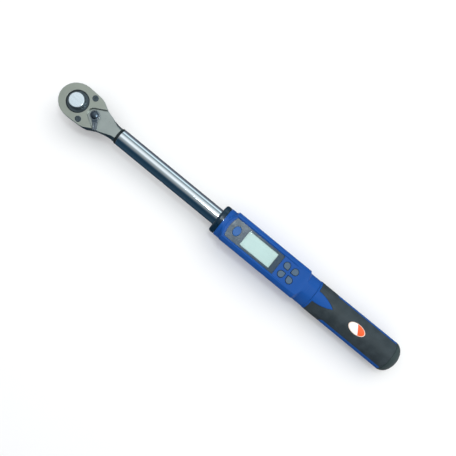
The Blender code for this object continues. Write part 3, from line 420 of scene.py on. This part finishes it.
def rubber(name, colour, rough=0.55, shine=0.5):
    """Soft rubber: pebbled grain, dusty high spots and a dull sheen."""
    graph = Surface(name)
    pebble = graph.add("ShaderNodeTexVoronoi", feature="SMOOTH_F1")
    pebble.inputs["Scale"].default_value = 1100.0
    graph.put(graph.place, pebble.inputs["Vector"])
    fine = graph.noise(scale=2500.0, detail=2.0)
    dust = graph.noise(scale=90.0, detail=5.0)
    tone = graph.mix(graph.mask(dust, low=0.4, high=0.75), colour, shade(colour, 1.4, lift=0.006))
    tone = graph.mix(graph.times(graph.edges(radius=0.0005), 0.35), tone, shade(colour, 1.8, lift=0.01))
    rough_map = graph.spread(dust, rough - 0.06, rough + 0.08)
    pebbled = graph.bump(pebble.outputs["Distance"], PEBBLE_DEPTH)
    normal = graph.bump(fine, RUBBER_GRAIN_DEPTH, under=pebbled)
    return graph.finish(tone, rough_map, normal, Specular_IOR_Level=shine)


def clear_window():
    """The clear display window, with a few faint wipe marks."""
    graph = Surface("display_window_clear")
    wiped = graph.noise(scale=160.0, detail=4.0, stretch=(1.0, 0.2, 1.0))
    tone = graph.mix(graph.spread(wiped), WINDOW_SHADED, WINDOW_CLEAR)
    rough_map = graph.remap(wiped, low=0.45, high=0.8, to_low=0.04, to_high=0.14)
    material = graph.finish(tone, rough_map, Alpha=0.10)
    material.surface_render_method = "BLENDED"
    return material


def unlit_display():
    """The reflective display, switched off: pale green-grey film with a fine reflector texture."""
    graph = Surface("display_film")
    film = graph.noise(scale=3000.0, detail=1.0)
    drift = graph.noise(scale=45.0, detail=2.0)
    tone = graph.mix(graph.spread(drift), DISPLAY_DARK, DISPLAY_PALE)
    tone = graph.mix(graph.spread(film, to_high=0.25), tone, DISPLAY_GRAIN)
    return graph.finish(tone, roughness=0.35, normal=graph.bump(film, PRINTED_DEPTH))


def badge_print():
    """A plain two-colour oval, white on the head's side and orange on the cap's side, with no mark on it."""
    low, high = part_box("badge")
    centre = (low + high) / 2
    half = (high - low) / 2
    graph = Surface("badge_print")
    spot = graph.mapped((1 / half.x, 1 / half.y, 0.0), offset=(-centre.x / half.x, -centre.y / half.y, 0.0))
    axes = graph.split(spot)
    slant = graph.maths("ADD", axes["X"], graph.times(axes["Y"], BADGE_SLANT))
    orange = graph.mask(slant, BADGE_SPLIT - BADGE_SPLIT_BLEND, BADGE_SPLIT + BADGE_SPLIT_BLEND)
    rim = graph.mask(graph.length(spot), RIM_START, RIM_FULL)
    tone = graph.mix(orange, BADGE_WHITE, BADGE_ORANGE)
    tone = graph.mix(rim, tone, BADGE_RIM)
    rough_map = graph.spread(graph.noise(scale=200.0, detail=3.0), 0.25, 0.4)
    normal = graph.bump(graph.noise(scale=1800.0, detail=2.0), PRINTED_DEPTH)
    return graph.finish(tone, rough_map, normal, Coat_Weight=0.4)


# ---------------------------------------------------------------- sub-parts


def numbered(stem, count):
    """The names of sub-parts that repeat, such as key_1 to key_4."""
    return [f"{stem}_{number}" for number in range(1, count + 1)]


def assign(material, slot, *names):
    """Gives CAD nodes a material. The slot argument, the slot of the record that the material stands for, is
    not used.
    """
    for name in names:
        node = NODES[name]
        node.data.materials.clear()
        node.data.materials.append(material)


def soften(width, segments, *names):
    """Rounds the sharp edges of CAD nodes with modifiers, and leaves their meshes alone."""
    for name in names:
        node = NODES[name]
        node.data.polygons.foreach_set("use_smooth", [True] * len(node.data.polygons))
        weld = node.modifiers.new("weld", "WELD")
        weld.merge_threshold = WELD_GAP
        flat = node.modifiers.new("flat", "DECIMATE")
        flat.decimate_type = "DISSOLVE"
        flat.angle_limit = FLAT_ANGLE
        edge = node.modifiers.new("edge", "BEVEL")
        edge.width = width
        edge.segments = segments
        edge.limit_method = "ANGLE"
        edge.angle_limit = SHARP_ANGLE
        edge.miter_outer = "MITER_ARC"
        edge.use_clamp_overlap = True
        normals = node.modifiers.new("normals", "WEIGHTED_NORMAL")
        normals.mode = "FACE_AREA_WITH_ANGLE"
        normals.weight = FLAT_FACE_WEIGHT


def finish_head():
    forged = brushed_metal("forged_satin_chrome", FORGED_STEEL, rough=0.30, stretch=0.15, wear_and_highlight_share=0.1)
    plate = brushed_metal("plate_satin_chrome", PLATE_STEEL, rough=0.33, stretch=0.12)
    inner = brushed_metal("ground_steel", GROUND_STEEL, rough=0.28, stretch=0.2, depth=GROUND_DEPTH)
    screws = numbered("cover_screw", 2)
    assign(forged, "head_steel", "ratchet_head")
    assign(plate, "satin_chrome", "cover_plate")
    assign(black_oxide("gear_black_oxide", GEAR_BLACK), "black_steel", "drive_gear")
    assign(black_oxide("screw_black_oxide", COVER_SCREW_BLACK), "black_steel", *screws)
    assign(chrome("button_chrome", BUTTON_CHROME, rough=0.22), "bright_chrome", "release_button")
    assign(lever_chrome(), "bright_chrome", "reverse_lever")
    assign(chrome("ball_chrome", BALL_CHROME, rough=0.12), "bright_chrome", "detent_ball")
    assign(inner, "inner_steel", "pawl", "pawl_pin", "pawl_plunger", "lever_clip", "release_spring")
    assign(inner, "inner_steel", "tube_cross_pin", "battery_spring")
    soften(HEAD_EDGE, EDGE_SEGMENTS, "ratchet_head")
    soften(PLATE_EDGE, EDGE_SEGMENTS, "cover_plate")
    soften(LEVER_EDGE, EDGE_SEGMENTS, "reverse_lever")
    soften(SMALL_EDGE, SMALL_EDGE_SEGMENTS, "drive_gear", "release_button", *screws)


def finish_tube():
    collar = moulded("collar_black", COLLAR_BLACK, rough=0.27)
    gauges = numbered("strain_gauge", 2)
    assign(chrome("tube_chrome", TUBE_CHROME, rough=0.07), "bright_chrome", "main_tube")
    assign(rubber("neck_rubber", NECK_RUBBER, rough=0.5, shine=0.25), "black_rubber", "neck_ring", "cap_seal")
    assign(collar, "black_plastic", "front_collar", "signal_cable", "battery_stop", "main_chip", "buzzer")
    assign(collar, "black_plastic", "power_switch", *numbered("key_switch", 4))
    assign(moulded("gauge_film", GAUGE_FILM, rough=0.4), "gauge_film", *gauges)
    soften(TUBE_EDGE, EDGE_SEGMENTS, "main_tube", "neck_ring", "front_collar")


def finish_housing():
    blue = moulded("housing_blue", HOUSING_BLUE, rough=0.42, shine=0.26)
    keys = numbered("key", 4)
    screws = numbered("housing_screw", 4)
    assign(blue, "housing_blue", "upper_housing", "lower_housing", "grip_core")
    assign(moulded("power_blue", POWER_BLUE, rough=0.42, shine=0.3), "housing_blue", "power_button")
    assign(moulded("panel_grey", PANEL_GREY, rough=0.28, depth=PRINTED_DEPTH), "panel_grey", "display_panel")
    assign(moulded("key_grey", KEY_GREY, rough=0.5, shine=0.4), "key_grey", *keys)
    assign(clear_window(), "window_clear", "display_window")
    assign(unlit_display(), "lcd_green", "lcd_module")
    assign(moulded("board_green", BOARD_GREEN, rough=0.35), "board_green", "circuit_board")
    assign(black_oxide("case_screw_black", CASE_SCREW_BLACK), "black_steel", *screws)
    soften(MOULDED_EDGE, EDGE_SEGMENTS, "upper_housing", "lower_housing", "grip_core")
    soften(MOULDED_EDGE, EDGE_SEGMENTS, "display_panel", "power_button")
    soften(KEY_EDGE, SMALL_EDGE_SEGMENTS, *keys)


def finish_handle():
    brass = brushed_metal("contact_brass", BRASS, rough=0.3, stretch=0.2, depth=GROUND_DEPTH)
    jacket = moulded("battery_jacket", BATTERY_JACKET, rough=0.3, coat=0.5)
    assign(rubber("grip_rubber", GRIP_RUBBER), "grip_rubber", "grip_rubber")
    assign(badge_print(), "badge_print", "badge")
    assign(moulded("cap_black", CAP_BLACK, rough=0.52, shine=0.35), "black_plastic", "battery_cap")
    assign(jacket, "battery_jacket", *numbered("battery", 2))
    assign(brass, "contact_brass", "front_contact", "contact_disc")
    soften(MOULDED_EDGE, EDGE_SEGMENTS, "grip_rubber", "badge", "battery_cap")


# ---------------------------------------------------------------- studio


def floor_paper():
    """White paper, very slightly cloudy."""
    graph = Surface("floor_paper")
    clouds = graph.noise(scale=3.0, detail=3.0)
    tone = graph.mix(graph.spread(clouds), shade(PAPER_WHITE, 0.99), PAPER_WHITE)
    return graph.finish(tone, roughness=0.9)


def build_floor():
    """A sloping floor: the tool rests on its drive square and the underside of its end cap."""
    cap_low, cap_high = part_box("battery_cap")
    rest_x = (cap_low.x + cap_high.x) / 2
    slope = math.atan2(cap_low.z, rest_x)
    bpy.ops.mesh.primitive_plane_add(
        size=FLOOR_SIZE, location=(0.0, 0.0, -FLOOR_GAP), rotation=(0.0, -slope, 0.0)
    )
    floor = bpy.context.object
    floor.name = "floor"
    floor.data.materials.append(floor_paper())
    floor.visible_glossy = False


def build_world():
    """A pale room. Reflections see soft boxes overhead and on the +Y side instead, and a dark side on -Y."""
    world = bpy.data.worlds.new("studio")
    world.use_nodes = True
    bpy.context.scene.world = world
    graph = Graph(world.node_tree)
    direction = graph.split(graph.add("ShaderNodeTexCoord").outputs["Generated"])
    around = graph.maths("ARCTAN2", direction["Y"], direction["Z"])
    along = graph.maths("ARCSINE", direction["X"])
    end_share = graph.ramp(along, END_SHARE)
    reflected = graph.mix(end_share, graph.ramp(around, AROUND_TOOL), graph.ramp(along, ALONG_TOOL))
    is_reflection = graph.add("ShaderNodeLightPath").outputs["Is Glossy Ray"]
    background = graph.tree.nodes["Background"]
    graph.put(graph.mix(is_reflection, ROOM_LIGHT, reflected), background.inputs["Color"])
    graph.put(ROOM_POWER, background.inputs["Strength"])


def area_light(name, place, aim, size, power, colour):
    """A rectangular lamp that faces the point it is aimed at."""
    data = bpy.data.lights.new(name, "AREA")
    data.shape = "RECTANGLE"
    data.size, data.size_y = size
    data.energy = power
    data.color = colour
    lamp = bpy.data.objects.new(name, data)
    bpy.context.scene.collection.objects.link(lamp)
    lamp.location = place
    lamp.rotation_euler = (Vector(aim) - Vector(place)).to_track_quat("-Z", "Y").to_euler()
    return lamp


def build_lights():
    """A key and a fill lamp that don't show in reflections, and a small spot that shines on the panel."""
    key = area_light(
        "key",
        place=(0.45, 0.75, 0.95),
        aim=(0.24, 0.0, TUBE_AXIS_Z),
        size=(1.1, 0.8),
        power=KEY_POWER,
        colour=KEY_COLOUR,
    )
    fill = area_light(
        "fill",
        place=(-0.3, 0.2, 1.1),
        aim=(0.2, 0.0, TUBE_AXIS_Z),
        size=(0.8, 0.8),
        power=FILL_POWER,
        colour=FILL_COLOUR,
    )
    for lamp in (key, fill):
        lamp.visible_glossy = False
    area_light(
        "spot",
        place=(0.212, 0.155, 1.0),
        aim=(0.24, 0.0, TUBE_AXIS_Z),
        size=(0.16, 0.13),
        power=SPOT_POWER,
        colour=SPOT_COLOUR,
    )


def build_camera():
    """Looks down on the tool. The slope turns the view about its own line of sight."""
    along = Vector((1.0, 0.0, 0.0))
    back = Vector((0.0, -math.sin(VIEW_TILT), math.cos(VIEW_TILT)))
    across = back.cross(along)
    right = along * math.cos(TOOL_SLOPE) + across * math.sin(TOOL_SLOPE)
    up = back.cross(right)
    turn = Matrix((right, up, back)).transposed().to_4x4()
    data = bpy.data.cameras.new("camera")
    data.sensor_width = SENSOR_WIDTH
    data.lens = SENSOR_WIDTH * VIEW_DISTANCE / FRAME_WIDTH
    data.clip_start = NEAREST_SEEN
    camera = bpy.data.objects.new("camera", data)
    bpy.context.scene.collection.objects.link(camera)
    camera.matrix_world = Matrix.Translation(VIEW_TARGET + back * VIEW_DISTANCE) @ turn
    bpy.context.scene.camera = camera
    bpy.context.scene.view_settings.view_transform = "Standard"


finish_head()
finish_tube()
finish_housing()
finish_handle()
build_floor()
build_world()
build_lights()
build_camera()
